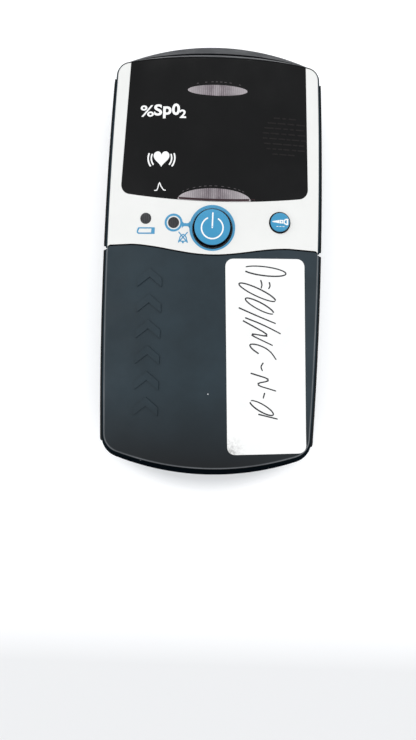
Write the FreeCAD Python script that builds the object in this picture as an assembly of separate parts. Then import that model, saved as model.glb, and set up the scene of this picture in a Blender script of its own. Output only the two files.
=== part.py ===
"""Handheld pulse oximeter: a palm-size case whose lower half is a slide-off battery cover.

Millimetres. The case lies on its back: +Z is the face, +Y the sensor-socket end, +X the right
side as the user reads it. The origin is under the middle of the case, on the surface it rests on.
"""
import FreeCAD, Part
import math
import os
from FreeCAD import Vector

# ---- driving dimensions ---------------------------------------------------------------------
PARTING_Z = 14.0          # height of the joint between the front and rear shells
BAND_Z = (11.5, 15.5)     # upright band round the widest level of the case
FACE_Z = 30.2             # highest line of the crowned face
CROWN_R = 160.0           # the face is a cylinder of this radius, lying along Y
LOFT_TOP_Z = 32.0         # level of the front section, just above the crown
GRIP_PROUD = 0.5          # how far the side grips stand out of the case
WALL = 2.0
FRONT_WALL = 3.2          # face wall with its plate
PLATE = 1.2               # thickness of the white plate and of the window
PLATE_RIM = 0.25          # dark rim of the shell left around the plate
PLATE_EDGE_R = 0.4
COVER_EDGE_R = 0.8
SLIP = 0.35               # gap between the cover and what it slides over
BACK_EDGE_R = 3.0
INNER_EDGE_R = 2.0        # inside corner along the back

# Cutting bodies reach past the case to these limits.
FAR = 90.0
ABOVE_Z = 40.0
BELOW_Z = -5.0
HOLE_Z = 20.0             # holes through the face start at this level
TOUCH = 0.01              # largest gap counted as touching

# Outlines: half width, side arc, then each end's apex, end radius and corner radius.
MID = dict(half=34.75, side_y=-12.0, side_r=1250.0, top=69.0, top_r=78.0, top_corner=4.3,
           bottom=-69.0, bottom_r=87.0, bottom_corner=7.0)
FRONT = dict(half=31.5, side_y=-8.0, side_r=1150.0, top=57.65, top_r=190.0, top_corner=4.0,
             bottom=-64.5, bottom_r=79.0, bottom_corner=5.5)
BACK = dict(half=31.5, side_y=-12.0, side_r=1250.0, top=65.5, top_r=80.0, top_corner=5.0,
            bottom=-66.0, bottom_r=85.0, bottom_corner=6.5)

# Seam between the upper case and the battery cover. Above the parting level it leans, so that it
# moves along Y by SEAM_LEAN for each unit of height; its places are given at SEAM_Z.
SEAM_LEAN = 0.21
SEAM_Z = 29.0
WAIST_Y = 0.4
REAR_WAIST_Y = WAIST_Y + SEAM_LEAN * (SEAM_Z - PARTING_Z)
SEAM_GAP = 0.45
WAVE_TOP_Y = 2.0
WAVE_LOW_Y = -0.4
WAVE_X = -0.8
WAVE_HALF = 24.0
COVER_CORNER_R = 1.1
COVER_CORNER_X = 32.2
COVER_SHOULDER_Z = 21.0   # below this level the cover's upper end is straight
GROOVE_ROOT_X = 33.45
GROOVE_ROOT_WIDTH = 0.9
GROOVE_LIP_R = 2.8
GROOVE_REACH = 2.3

# Face features.
WINDOW_BOTTOM_Y = 15.5
WINDOW_BOTTOM_R = 167.0
WINDOW_BOTTOM_HALF = 28.5
WINDOW_TOP_HALF = 25.6
WINDOW_TOP_Y = 75.0       # level where the sides reach the top half width
WINDOW_CORNER_R = 3.0
WINDOW_LEDGE = 1.6        # ledge of the shell that the window rests on
WINDOW_FIT = 0.06         # gap round the window and its lenses
WINDOW_HOLE_TOP_Y = 53.0
LENS_BOTTOM_Z = 24.3
LENS_GAP = 0.1            # gap between the light pipes and the shell
ALARM_LENS_Y = 48.85
ALARM_LENS_HALF = 8.95
ALARM_LENS_RISE = 1.6
PULSE_LENS_HALF = 11.0
PULSE_LENS_TOP_Y = 19.4
POWER_AT = (-0.3, 7.5)
POWER_CAP_R = 5.4
POWER_SOCKET_R = 5.85
POWER_TOP_Z = 32.0
POWER_FLANGE_Z = 26.0
POWER_STEM_Z = 25.6
BACKUP_AT = (20.05, 10.0)
BACKUP_CAP_R = 2.95
BACKUP_SOCKET_R = 3.3
BACKUP_TOP_Z = 30.0
BACKUP_FLANGE_Z = 25.0
BACKUP_STEM_Z = 24.7
BACKUP_POCKET_R = 4.4
BACKUP_POCKET_Z = 26.0
CAP_EDGE_R = 0.8
CAP_DOME = 6.0            # dome radius over cap radius
FLANGE = 0.75
FLANGE_REACH = 0.8
STEM_R = 1.6
PLUNGER_R = 1.25
LAMP_R = 1.65
LAMP_GAP = 0.05
LAMP_BOTTOM_Z = 24.6
LENS_PROUD = 0.12
BATTERY_LAMP_AT = (-20.5, 10.05)
SILENCE_LAMP_AT = (-12.0, 8.85)

# Side grips.
GRIP_Z = (9.0, 19.5)
UPPER_GRIP_Y = (0.0, 56.0)
LOWER_GRIP_Y = (-58.6, 5.0)
GRIP_DEPTH = 1.1
GRIP_INNER_X = 30.0

# Boards.
BOARD = 1.6
SOCKET_Z = 8.5             # axis of the sensor socket
MAIN_BOARD_Z = SOCKET_Z - BOARD / 2
DISPLAY_BOARD_Z = 20.4
DISPLAY_TOP_Z = DISPLAY_BOARD_Z + BOARD
BOARD_BOTTOM_Y = 5.2
BOARD_TOP_Y = 55.0
MAIN_BOARD_HALF = 23.2
MAIN_BOARD_TOP_Y = 48.8
DISPLAY_BOARD_HALF = 28.8
BOARD_CORNER_R = 3.0
BOARD_NOTCH_R = 3.6
MAIN_HOLE_R = 1.1
DISPLAY_HOLE_R = 1.0

# Screws and their bosses.
CASE_SCREWS_AT = [(x, y) for x in (-26.2, 26.2) for y in (9.0, 51.0)]
MAIN_SCREWS_AT = [(x, y) for x in (-20.0, 20.0) for y in (10.0, 40.0)]
DISPLAY_SCREWS_AT = [(x, y) for x in (-26.8, 26.8) for y in (20.0, 42.0)]
CASE_SCREW = dict(head_r=2.3, shank_r=1.15, length=16.0)
MAIN_SCREW = dict(head_r=2.0, shank_r=0.85, length=5.0)
DISPLAY_SCREW = dict(head_r=1.7, shank_r=0.75, length=4.0)
SCREW_HEAD = 1.3
SCREW_SLOT = 0.5
SCREW_CROSS = 0.65        # reach of the cross slot over the head's radius
WELL_R = 2.5              # wells for the case screws in the back
WELL_TOP_Z = 2.6
CASE_HOLE_R = 1.4
CASE_PILOT_R = 1.2
CASE_PILOT = 6.0
MAIN_PILOT_R = 0.9
MAIN_PILOT_Z = 3.0
DISPLAY_PILOT_R = 0.8
DISPLAY_PILOT = 3.0
CASE_BOSS_R = 2.7
REAR_BOSS_R = 2.9
MAIN_BOSS_R = 2.6
DISPLAY_BOSS_R = 1.9
BOSS_FOOT_Z = 1.0

# Parts on the boards.
SWITCH_BOX = (-2.4, 2.4, -2.2, 2.4)
SWITCH_HIGH = 1.7
SWITCH_BORE_R = 1.35
SWITCH_FLOOR = 0.1
PLUNGER_BED = 0.3         # depth of the plunger in its switch
DIGITS_X = (-9.0, 25.0)
DIGITS_HALF = 5.8
DIGITS_HIGH = 4.6
DIGITS_CORNER_R = 0.5
SPO2_DIGITS_Y = 40.6
PULSE_DIGITS_Y = 27.6
LED_BAR_HALF = 1.2
LED_BAR_HIGH = 1.9
ALARM_BAR_HALF = 8.0
PULSE_BAR_HALF = 9.0
PULSE_BAR_Y = 17.2
LED_HALF = 1.1
LED_HIGH = 1.6
PROCESSOR = (-4.0, 33.0, 12.0)    # place and size
ANALOG = (12.0, 35.0, 8.5)
CHIP_PITCH = 1.27
CHIP_Z = (0.1, 1.5)
CHIP_LEG = (0.2, 0.5)     # half width and height
CHIP_LEG_REACH = 0.9
HEADER_X = (-11.0, 11.0)
HEADER_Y = (18.0, 22.0)
CAPACITORS_AT = [(-18, 20), (-18, 28), (18, 20)]
CAPACITOR_R = 2.5
CAPACITOR_HIGH = 5.5
SOUNDER_AT = (12.0, 42.0)
SOUNDER_R = 5.0
SOUNDER_Z = 3.4
SOUND_HOLE_R = 0.7
SOUND_RING_R = 3.0
LABEL_Y = 24.0
LABEL_SIZE = (38.0, 24.0)
LABEL_CORNER_R = 2.0
LABEL_Z = (0.1, 0.25)
LABEL_RECESS = 0.3

# Sensor socket.
SOCKET_FLOOR_Y = 63.0
SOCKET_HALF = (15.0, 5.0)
SOCKET_WALL = 2.0
SOCKET_CORNER_R = 1.5
D_SHELL = (16.9, 8.3)
D_SLANT = math.radians(10)
D_CORNER_R = 2.0
D_GAP = 0.2
D_METAL = 0.45
SHELL_BACK_Y = 58.0
SHELL_FLANGE = (14.5, 5.5)
FLANGE_METAL = 0.8
BLOCK_HALF_Z = 5.0
NOSE_INSET = 0.5
NOSE_STEP = 0.6           # how far the insulator's nose ends short of the socket's floor
CONTACT_PITCH = 2.77
CONTACT_ROW = 2.84
PIN_R = 0.6
PIN_Y = (52.0, 62.0)
TAIL_R = 0.35
TAIL_Y = (45.0, 53.0)
BORE_R = 0.4
BORE_Y = (57.0, 63.0)
PIN_HOLE_R = 0.62
PIN_HOLE_Y = (52.0, 64.0)
TAIL_HOLE_Y = (44.0, 53.0)

# Cells.
CELL_R = 7.2
CELL_LENGTH = 49.0
CELL_NUB = 1.4
CELL_PITCH = 14.75
TRAY_HALF = 29.6
TRAY_Y = (-60.5, -5.5)
TRAY_FLOOR_Z = 5.2
CHASSIS_Y = (-63.5, 4.9)
CHASSIS_DROP = 0.2        # extra gap between the chassis and the face wall
TRAY_RAIL = 3.0           # length of the full-height ends of the tray's side walls
TRAY_SIDE_Z = 17.5
BUTTON_ROOM = 1.3         # clearance round the power cap
CELL_FLOAT = 0.1
CELL_SHIFT = 1.0          # towards the nub's end
CELL_EDGE_R = 0.6
CELL_NUB_R = 2.6
CONTACT_HALF = 5.5
CONTACT_METAL = 0.4
SPRING_OFF = 0.45
SPRING_BOW = 3.45
SPRING_HALF = 4.5
SPRING_END = 0.6
SPRING_WIDE = 6.0

# Cover badge and sticker.
BADGE_RISE = 0.35
BADGE_X = -18.7
BADGE_Y = (-52.0, -5.2)
BADGE_COUNT = 6
BADGE_HALF = 3.7
BADGE_BAR = 2.6
BADGE_PEAK = 3.0
BADGE_ROOT = 0.3
STICKER_AT = (17.2, -30.6)
STICKER_SIZE = (24.1, 59.0)
STICKER_TURN = 2.43
STICKER_THICK = 0.15
STICKER_OFF = 0.02
STICKER_CORNER_R = 2.3


# ---- helpers --------------------------------------------------------------------------------
def arc(a, b, c):
    return Part.Arc(a, b, c).toShape()


def line(a, b):
    return Part.LineSegment(a, b).toShape()


def box(x0, x1, y0, y1, z0, z1):
    return Part.makeBox(x1 - x0, y1 - y0, z1 - z0, Vector(x0, y0, z0))


def slab(y0, y1, z0=BELOW_Z, z1=ABOVE_Z):
    """Block right across the case between two Y levels and two heights."""
    return box(-FAR, FAR, y0, y1, z0, z1)


def post(at, radius, z0, z1):
    return Part.makeCylinder(radius, z1 - z0, Vector(at[0], at[1], z0))


def face_hole(at, radius):
    return post(at, radius, HOLE_Z, ABOVE_Z)


def rod(x, z, radius, span):
    """Cylinder along Y."""
    return Part.makeCylinder(radius, span[1] - span[0], Vector(x, span[0], z), Vector(0, 1, 0))


def prism(edges, z0, z1):
    """Extrude a closed run of edges, drawn at height zero, from z0 to z1."""
    face = Part.Face(Part.Wire(edges))
    face.translate(Vector(0, 0, z0))
    return face.extrude(Vector(0, 0, z1 - z0))


def rounded_rectangle(width, height, radius):
    """Edges of a rectangle about the origin with round corners."""
    x, y = width / 2, height / 2
    c = radius * (1 - math.sqrt(0.5))
    corners = [(x, -y, x, y), (x, y, -x, y), (-x, y, -x, -y), (-x, -y, x, -y)]
    edges = []
    for ax, ay, bx, by in corners:
        along = Vector(bx - ax, by - ay, 0).normalize()
        turn = Vector(-along.y, along.x, 0)
        start = Vector(ax, ay, 0) + along * radius
        end = Vector(bx, by, 0) - along * radius
        after = Vector(bx, by, 0) + turn * radius
        middle = Vector(bx, by, 0) + (turn - along) * c
        edges += [line(start, end), arc(end, middle, after)]
    return edges


def leaning_prism(edges):
    """Extrude a closed run of edges up from the parting level, leaning as the seam does."""
    face = Part.Face(Part.Wire(edges))
    face.translate(Vector(0, REAR_WAIST_Y - WAIST_Y, PARTING_Z))
    height = ABOVE_Z - PARTING_Z
    return face.extrude(Vector(0, -SEAM_LEAN * height, height))


def mirrored(shape):
    return shape.mirror(Vector(0, 0, 0), Vector(1, 0, 0))


def crown_solid(drop):
    """Everything under the crowned face, lowered by drop."""
    start = Vector(0, -FAR, FACE_Z - CROWN_R)
    cylinder = Part.makeCylinder(CROWN_R - drop, 2 * FAR, start, Vector(0, 1, 0))
    cylinder.rotate(start, Vector(0, 1, 0), 180)
    return cylinder


def crown_z(x):
    return FACE_Z - CROWN_R + math.sqrt(CROWN_R ** 2 - x ** 2)


def on_crown(edge):
    """True for an edge of a solid that ends at the undropped crowned face."""
    middle = edge.valueAt((edge.FirstParameter + edge.LastParameter) / 2)
    return abs(middle.z - crown_z(middle.x)) < 5 * TOUCH


# ---- case form ------------------------------------------------------------------------------
def tangent_corner(side_centre, side_r, end_centre, end_r, corner_r, upward):
    """Start, middle and end of the corner arc that touches a side arc and an end arc inside."""
    reach_side = side_r - corner_r
    reach_end = end_r - corner_r
    gap = end_centre - side_centre
    distance = gap.Length
    along = (reach_side ** 2 - reach_end ** 2 + distance ** 2) / (2 * distance)
    across = math.sqrt(reach_side ** 2 - along ** 2)
    u = gap.normalize()
    w = Vector(-u.y, u.x, 0)
    options = [side_centre + u * along + w * across, side_centre + u * along - w * across]
    centre = max(options, key=lambda p: p.y) if upward else min(options, key=lambda p: p.y)
    on_side = side_centre + (centre - side_centre).normalize() * side_r
    on_end = end_centre + (centre - end_centre).normalize() * end_r
    outward = (on_side + on_end - centre * 2).normalize()
    return on_side, centre + outward * corner_r, on_end


def outline(form, inset, z):
    """Closed wire of eight tangent arcs at height z, drawn inside the form by inset."""
    half = form["half"] - inset
    side_r = form["side_r"] - inset
    side_centre = Vector(half - side_r, form["side_y"], z)
    ends = []
    for name, sign in (("top", 1), ("bottom", -1)):
        end_r = form[name + "_r"] - inset
        corner_r = max(form[name + "_corner"] - inset, 1.0)
        apex = form[name] - sign * inset
        end_centre = Vector(0, apex - sign * end_r, z)
        corner = tangent_corner(side_centre, side_r, end_centre, end_r, corner_r, sign > 0)
        ends.append((corner, Vector(0, apex, z)))
    (top, top_apex), (bottom, bottom_apex) = ends

    def left(p):
        return Vector(-p.x, p.y, p.z)

    middle = Vector(half, form["side_y"], z)
    return Part.Wire([
        arc(bottom[0], middle, top[0]),
        arc(*top),
        arc(top[2], top_apex, left(top[2])),
        arc(left(top[2]), left(top[1]), left(top[0])),
        arc(left(top[0]), left(middle), left(bottom[0])),
        arc(left(bottom[0]), left(bottom[1]), left(bottom[2])),
        arc(left(bottom[2]), bottom_apex, bottom[2]),
        arc(bottom[2], bottom[1], bottom[0]),
    ])


def front_form(inset, drop, edge_r=0.0):
    """Front half of the case, above the parting level, under the crown, with a round face edge."""
    wires = [outline(MID, inset, PARTING_Z), outline(MID, inset, BAND_Z[1]),
             outline(FRONT, inset, LOFT_TOP_Z)]
    solid = Part.makeLoft(wires, True, True).common(crown_solid(drop))
    if edge_r > 0:
        solid = solid.makeFillet(edge_r, [e for e in solid.Edges if on_crown(e)])
    return solid


def rear_form(inset, floor, edge_r):
    """Rear half of the case, from the parting level down to the floor, with a round edge."""
    wires = [outline(BACK, inset, 0.0), outline(MID, inset, BAND_Z[0]),
             outline(MID, inset, PARTING_Z)]
    solid = Part.makeLoft(wires, True, True)
    if floor > 0:
        solid = solid.cut(slab(-FAR, FAR, BELOW_Z, floor))
    bottom_edges = [e for e in solid.Edges if e.BoundBox.ZMax < floor + TOUCH]
    return solid.makeFillet(edge_r, bottom_edges)


# ---- seam -----------------------------------------------------------------------------------
def seam_region(offset, above):
    """Leaning prism above or below the wavy seam of the face, moved along Y by offset."""
    steps = 12
    points = []
    for i in range(steps + 1):
        across = 1 - 2 * i / steps
        dip = (WAVE_TOP_Y - WAVE_LOW_Y) * (1 + math.cos(math.pi * across)) / 2
        points.append(Vector(WAVE_X + WAVE_HALF * across, WAVE_TOP_Y - dip + offset, 0))
    curve = Part.BSplineCurve()
    curve.interpolate(Points=points, InitialTangent=Vector(-1, 0, 0), FinalTangent=Vector(-1, 0, 0))
    far_y = FAR if above else -FAR
    side_y = WAIST_Y + offset
    shoulder_y = side_y + COVER_CORNER_R
    corner_x = COVER_CORNER_X - COVER_CORNER_R
    bend = COVER_CORNER_R * math.sqrt(0.5)
    edges = [
        line(Vector(FAR, far_y, 0), Vector(FAR, side_y, 0)),
        line(Vector(FAR, side_y, 0), Vector(COVER_CORNER_X, side_y, 0)),
        arc(Vector(COVER_CORNER_X, side_y, 0), Vector(corner_x + bend, side_y + bend, 0),
            Vector(corner_x, shoulder_y, 0)),
        line(Vector(corner_x, shoulder_y, 0), points[0]),
        curve.toShape(),
        line(points[-1], Vector(-corner_x, shoulder_y, 0)),
        arc(Vector(-corner_x, shoulder_y, 0), Vector(-corner_x - bend, side_y + bend, 0),
            Vector(-COVER_CORNER_X, side_y, 0)),
        line(Vector(-COVER_CORNER_X, side_y, 0), Vector(-FAR, side_y, 0)),
        line(Vector(-FAR, side_y, 0), Vector(-FAR, far_y, 0)),
        line(Vector(-FAR, far_y, 0), Vector(FAR, far_y, 0)),
    ]
    return leaning_prism(edges)


def case_side(above):
    """Everything above or below the seam, at all heights."""
    if above:
        rear = slab(REAR_WAIST_Y + SEAM_GAP / 2, FAR, BELOW_Z, PARTING_Z)
        return rear.fuse(seam_region(SEAM_GAP / 2, True))
    rear = slab(-FAR, REAR_WAIST_Y - SEAM_GAP / 2, BELOW_Z, PARTING_Z)
    return rear.fuse(seam_region(-SEAM_GAP / 2, False))


def waist_grooves():
    """Two V-shaped notches with round lips, one in each side, through the whole depth."""
    root = GROOVE_ROOT_WIDTH / 2
    reach = GROOVE_REACH
    lip = root + GROOVE_LIP_R - math.sqrt(GROOVE_LIP_R ** 2 - reach ** 2)
    half_lip = root + GROOVE_LIP_R - math.sqrt(GROOVE_LIP_R ** 2 - (reach / 2) ** 2)

    def at(dx, dy):
        return Vector(GROOVE_ROOT_X + dx, WAIST_Y + dy, 0)

    edges = [
        line(at(0, -root), at(0, root)),
        arc(at(0, root), at(reach / 2, half_lip), at(reach, lip)),
        line(at(reach, lip), at(reach, -lip)),
        arc(at(reach, -lip), at(reach / 2, -half_lip), at(0, -root)),
    ]
    straight = prism(edges, BELOW_Z, PARTING_Z)
    straight.translate(Vector(0, REAR_WAIST_Y - WAIST_Y, 0))
    right = straight.fuse(leaning_prism(edges))
    return right.fuse(mirrored(right))


# ---- face openings --------------------------------------------------------------------------
def window_region(inset):
    """Prism of the display window: a shallow arc below, tapering sides, open past the top."""
    low_half = WINDOW_BOTTOM_HALF - inset
    high_half = WINDOW_TOP_HALF - inset
    radius = WINDOW_BOTTOM_R
    apex = WINDOW_BOTTOM_Y + inset
    rise = radius - math.sqrt(radius ** 2 - low_half ** 2)
    far_y = WINDOW_TOP_Y
    edges = [
        arc(Vector(-low_half, apex + rise, 0), Vector(0, apex, 0), Vector(low_half, apex + rise, 0)),
        line(Vector(low_half, apex + rise, 0), Vector(high_half, far_y, 0)),
        line(Vector(high_half, far_y, 0), Vector(-high_half, far_y, 0)),
        line(Vector(-high_half, far_y, 0), Vector(-low_half, apex + rise, 0)),
    ]
    solid = prism(edges, PARTING_Z, ABOVE_Z)
    corners = [e for e in solid.Edges if e.BoundBox.ZLength > PARTING_Z and e.BoundBox.YMax < ALARM_LENS_Y]
    return solid.makeFillet(WINDOW_CORNER_R, corners)


def alarm_lens_region(grow):
    """Prism of the elliptical alarm lens, grown by grow all round."""
    ellipse = Part.Ellipse(Vector(0, ALARM_LENS_Y, 0), ALARM_LENS_HALF + grow, ALARM_LENS_RISE + grow)
    return prism([ellipse.toShape()], LENS_BOTTOM_Z, ABOVE_Z)


def pulse_lens_region(grow):
    """Prism of half an ellipse standing on the window's lower edge, grown by grow all round."""
    half = PULSE_LENS_HALF + grow
    ends_y = WINDOW_BOTTOM_Y + PULSE_LENS_HALF ** 2 / (2 * WINDOW_BOTTOM_R) - grow
    ellipse = Part.Ellipse(Vector(0, ends_y, 0), half, PULSE_LENS_TOP_Y + grow - ends_y)
    bow = Part.ArcOfEllipse(ellipse, 0, math.pi).toShape()
    foot = arc(Vector(-half, ends_y, 0), Vector(0, WINDOW_BOTTOM_Y - grow, 0), Vector(half, ends_y, 0))
    return prism([bow, foot], LENS_BOTTOM_Z, ABOVE_Z)


def plate_layer(edge_r=0.0):
    """The top layer of the face, inside its rim, where the white plate and the window lie."""
    return front_form(PLATE_RIM, 0.0, edge_r).cut(crown_solid(PLATE))


def lamp_holes(grow):
    return [face_hole(at, LAMP_R + grow) for at in (BATTERY_LAMP_AT, SILENCE_LAMP_AT)]


# ---- shells ---------------------------------------------------------------------------------
def grip_band(y_range):
    """Left and right grip strips, standing out of the case side and bedded into it."""
    y0, y1 = y_range
    z0, z1 = GRIP_Z
    outer = front_form(-GRIP_PROUD, 0.0).fuse(rear_form(-GRIP_PROUD, 0.0, BACK_EDGE_R))
    inner = front_form(GRIP_DEPTH - GRIP_PROUD, 0.0)
    inner = inner.fuse(rear_form(GRIP_DEPTH - GRIP_PROUD, 0.0, BACK_EDGE_R))
    band = outer.cut(inner)
    right = band.common(box(GRIP_INNER_X, FAR, y0, y1, z0, z1))
    return right, band.common(box(-FAR, -GRIP_INNER_X, y0, y1, z0, z1))


def upper_grips(grooves):
    room = case_side(True)
    return [grip.cut(grooves).common(room) for grip in grip_band(UPPER_GRIP_Y)]


def cover_grips(grooves):
    room = case_side(False)
    return [grip.cut(grooves).common(room) for grip in grip_band(LOWER_GRIP_Y)]


def socket_block():
    x, z = SOCKET_HALF
    return box(-x - SOCKET_WALL, x + SOCKET_WALL, SOCKET_FLOOR_Y - SOCKET_WALL, FAR,
               SOCKET_Z - z - SOCKET_WALL, SOCKET_Z + z + SOCKET_WALL)


def socket_recess():
    x, z = SOCKET_HALF
    recess = box(-x, x, SOCKET_FLOOR_Y, FAR, SOCKET_Z - z, SOCKET_Z + z)
    lengthwise = [e for e in recess.Edges if e.BoundBox.YLength > SOCKET_WALL]
    return recess.makeFillet(SOCKET_CORNER_R, lengthwise)


def d_edges(grow):
    """D-shaped outline of the connector in the XZ plane, about the socket's axis."""
    wide = D_SHELL[0] / 2 + grow
    narrow = wide - D_SHELL[1] * math.tan(D_SLANT)
    high = D_SHELL[1] / 2 + grow
    points = [Vector(-wide, 0, high), Vector(wide, 0, high), Vector(narrow, 0, -high),
              Vector(-narrow, 0, -high)]
    return Part.makePolygon(points + points[:1])


def d_solid(grow, y0, y1):
    face = Part.Face(d_edges(grow))
    face.translate(Vector(0, y0, SOCKET_Z))
    solid = face.extrude(Vector(0, y1 - y0, 0))
    lengthwise = [e for e in solid.Edges if e.BoundBox.YLength > (y1 - y0) - TOUCH]
    return solid.makeFillet(D_CORNER_R + grow, lengthwise)


def shell_hole():
    """Hole for the socket's metal shell in the floor of the recess."""
    return d_solid(D_GAP, SOCKET_FLOOR_Y - 1.5 * SOCKET_WALL, SOCKET_FLOOR_Y + D_GAP)


def front_shell(grips, grooves):
    inside = front_form(WALL, FRONT_WALL)
    shell = front_form(0.0, 0.0).cut(inside)
    walls = [socket_block().common(front_form(0.0, 0.0))]
    for at in CASE_SCREWS_AT:
        walls.append(post(at, CASE_BOSS_R, PARTING_Z, ABOVE_Z).common(inside))
    for at in DISPLAY_SCREWS_AT:
        walls.append(post(at, DISPLAY_BOSS_R, DISPLAY_TOP_Z, ABOVE_Z).common(inside))
    shell = shell.fuse(walls)
    cuts = [grooves, socket_recess(), shell_hole(), slab(-FAR, FAR, BELOW_Z, PARTING_Z)]
    cuts += [post(at, CASE_PILOT_R, PARTING_Z - 1, PARTING_Z + CASE_PILOT) for at in CASE_SCREWS_AT]
    cuts += [post(at, DISPLAY_PILOT_R, DISPLAY_TOP_Z - 1, DISPLAY_TOP_Z + DISPLAY_PILOT)
             for at in DISPLAY_SCREWS_AT]
    cuts += grips
    cuts += face_cuts()
    return shell.common(seam_region(SEAM_GAP / 2, True)).cut(cuts)


def face_cuts():
    """Everything cut through the front shell's face."""
    opening = window_region(WINDOW_LEDGE).common(slab(0, WINDOW_HOLE_TOP_Y, HOLE_Z, ABOVE_Z))
    cuts = [plate_layer(), opening, alarm_lens_region(LENS_GAP), pulse_lens_region(LENS_GAP)]
    cuts += lamp_holes(LAMP_GAP)
    cuts += [face_hole(POWER_AT, POWER_SOCKET_R), face_hole(BACKUP_AT, BACKUP_SOCKET_R)]
    cuts.append(post(BACKUP_AT, BACKUP_POCKET_R, HOLE_Z, BACKUP_POCKET_Z))
    return cuts


def rear_shell(grips, grooves):
    inside = rear_form(WALL, WALL, INNER_EDGE_R)
    shell = rear_form(0.0, 0.0, BACK_EDGE_R).cut(inside)
    walls = [socket_block().common(rear_form(0.0, 0.0, BACK_EDGE_R))]
    walls += [post(at, REAR_BOSS_R, BOSS_FOOT_Z, PARTING_Z) for at in CASE_SCREWS_AT]
    walls += [post(at, MAIN_BOSS_R, BOSS_FOOT_Z, MAIN_BOARD_Z) for at in MAIN_SCREWS_AT]
    shell = shell.fuse(walls)
    cuts = [grooves, socket_recess(), shell_hole(), slab(-FAR, FAR, PARTING_Z, ABOVE_Z)]
    for at in CASE_SCREWS_AT:
        cuts += [post(at, CASE_HOLE_R, BELOW_Z, PARTING_Z + 1), post(at, WELL_R, BELOW_Z, WELL_TOP_Z)]
    cuts += [post(at, MAIN_PILOT_R, MAIN_PILOT_Z, MAIN_BOARD_Z + 1) for at in MAIN_SCREWS_AT]
    cuts += sound_holes()
    cuts.append(label_solid(LABEL_RECESS, BELOW_Z, LABEL_RECESS))
    cuts += grips
    return shell.cut(cuts).common(slab(REAR_WAIST_Y + SEAM_GAP / 2, FAR))


def sound_holes():
    x, y = SOUNDER_AT
    places = [(x, y)]
    for i in range(6):
        angle = math.radians(60 * i)
        places.append((x + SOUND_RING_R * math.cos(angle), y + SOUND_RING_R * math.sin(angle)))
    return [post(at, SOUND_HOLE_R, BELOW_Z, WALL + 1) for at in places]


def label_solid(grow, z0, z1):
    edges = rounded_rectangle(LABEL_SIZE[0] + 2 * grow, LABEL_SIZE[1] + 2 * grow, LABEL_CORNER_R)
    solid = prism(edges, z0, z1)
    solid.translate(Vector(0, LABEL_Y, 0))
    return solid


# ---- face parts -----------------------------------------------------------------------------
def fascia_plate():
    plate = plate_layer(PLATE_EDGE_R).common(seam_region(SEAM_GAP / 2, True))
    plate = plate.cut(window_region(-WINDOW_FIT))
    holes = lamp_holes(LAMP_GAP / 2) + [pulse_lens_region(WINDOW_FIT)]
    holes += [face_hole(POWER_AT, POWER_SOCKET_R), face_hole(BACKUP_AT, BACKUP_SOCKET_R)]
    for hole in holes:
        plate = plate.cut(hole)
    return plate


def display_window():
    layer = plate_layer(PLATE_EDGE_R).common(window_region(0.0))
    return layer.cut([alarm_lens_region(WINDOW_FIT), pulse_lens_region(WINDOW_FIT)])


def lens(region):
    return region.common(crown_solid(-LENS_PROUD))


def lamp_lens(at):
    return post(at, LAMP_R, LAMP_BOTTOM_Z, ABOVE_Z).common(crown_solid(-LENS_PROUD))


def button_cap(at, radius, top_z, flange_z, stem_z):
    """Domed cap with a retaining flange under the face and a short stem."""
    cap = post(at, radius, flange_z, top_z)
    rim = [e for e in cap.Edges if e.BoundBox.ZMin > top_z - TOUCH]
    cap = cap.makeFillet(CAP_EDGE_R, rim)
    dome_r = radius * CAP_DOME
    dome = Part.makeSphere(dome_r, Vector(at[0], at[1], top_z - dome_r))
    flange = post(at, radius + FLANGE_REACH, flange_z, flange_z + FLANGE)
    stem = post(at, STEM_R, stem_z, flange_z + FLANGE)
    return cap.common(dome).fuse([flange, stem]).removeSplitter()


def switch_body(at):
    x0, x1, y0, y1 = SWITCH_BOX
    body = box(at[0] + x0, at[0] + x1, at[1] + y0, at[1] + y1, DISPLAY_TOP_Z, DISPLAY_TOP_Z + SWITCH_HIGH)
    return body.cut(post(at, SWITCH_BORE_R, DISPLAY_TOP_Z + SWITCH_FLOOR, ABOVE_Z))


def plunger(at, stem_z):
    return post(at, PLUNGER_R, DISPLAY_TOP_Z + SWITCH_HIGH - PLUNGER_BED, stem_z)


# ---- boards ---------------------------------------------------------------------------------
def board(half, top_y, z, notches, holes, hole_r):
    edges = rounded_rectangle(2 * half, top_y - BOARD_BOTTOM_Y, BOARD_CORNER_R)
    solid = prism(edges, z, z + BOARD)
    solid.translate(Vector(0, (top_y + BOARD_BOTTOM_Y) / 2, 0))
    cuts = [post(at, BOARD_NOTCH_R, BELOW_Z, ABOVE_Z) for at in notches]
    cuts += [post(at, hole_r, BELOW_Z, ABOVE_Z) for at in holes]
    return solid.cut(cuts)


def digit_display(y):
    """Three-digit module on the display board."""
    solid = box(*DIGITS_X, y - DIGITS_HALF, y + DIGITS_HALF, DISPLAY_TOP_Z, DISPLAY_TOP_Z + DIGITS_HIGH)
    upright = [e for e in solid.Edges if e.BoundBox.ZLength > DIGITS_HIGH - TOUCH]
    return solid.makeFillet(DIGITS_CORNER_R, upright)


def chip(x, y, size):
    """Square chip on the main board, with legs on all four sides."""
    z = MAIN_BOARD_Z + BOARD
    half = size / 2
    reach = half + CHIP_LEG_REACH
    leg, leg_z = CHIP_LEG[0], z + CHIP_LEG[1]
    count = int((size - CHIP_PITCH) / CHIP_PITCH)
    legs = []
    for i in range(count):
        at = (i - (count - 1) / 2) * CHIP_PITCH
        legs.append(box(x - reach, x + reach, y + at - leg, y + at + leg, z, leg_z))
        legs.append(box(x + at - leg, x + at + leg, y - reach, y + reach, z, leg_z))
    return box(x - half, x + half, y - half, y + half, z + CHIP_Z[0], z + CHIP_Z[1]).fuse(legs)


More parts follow.
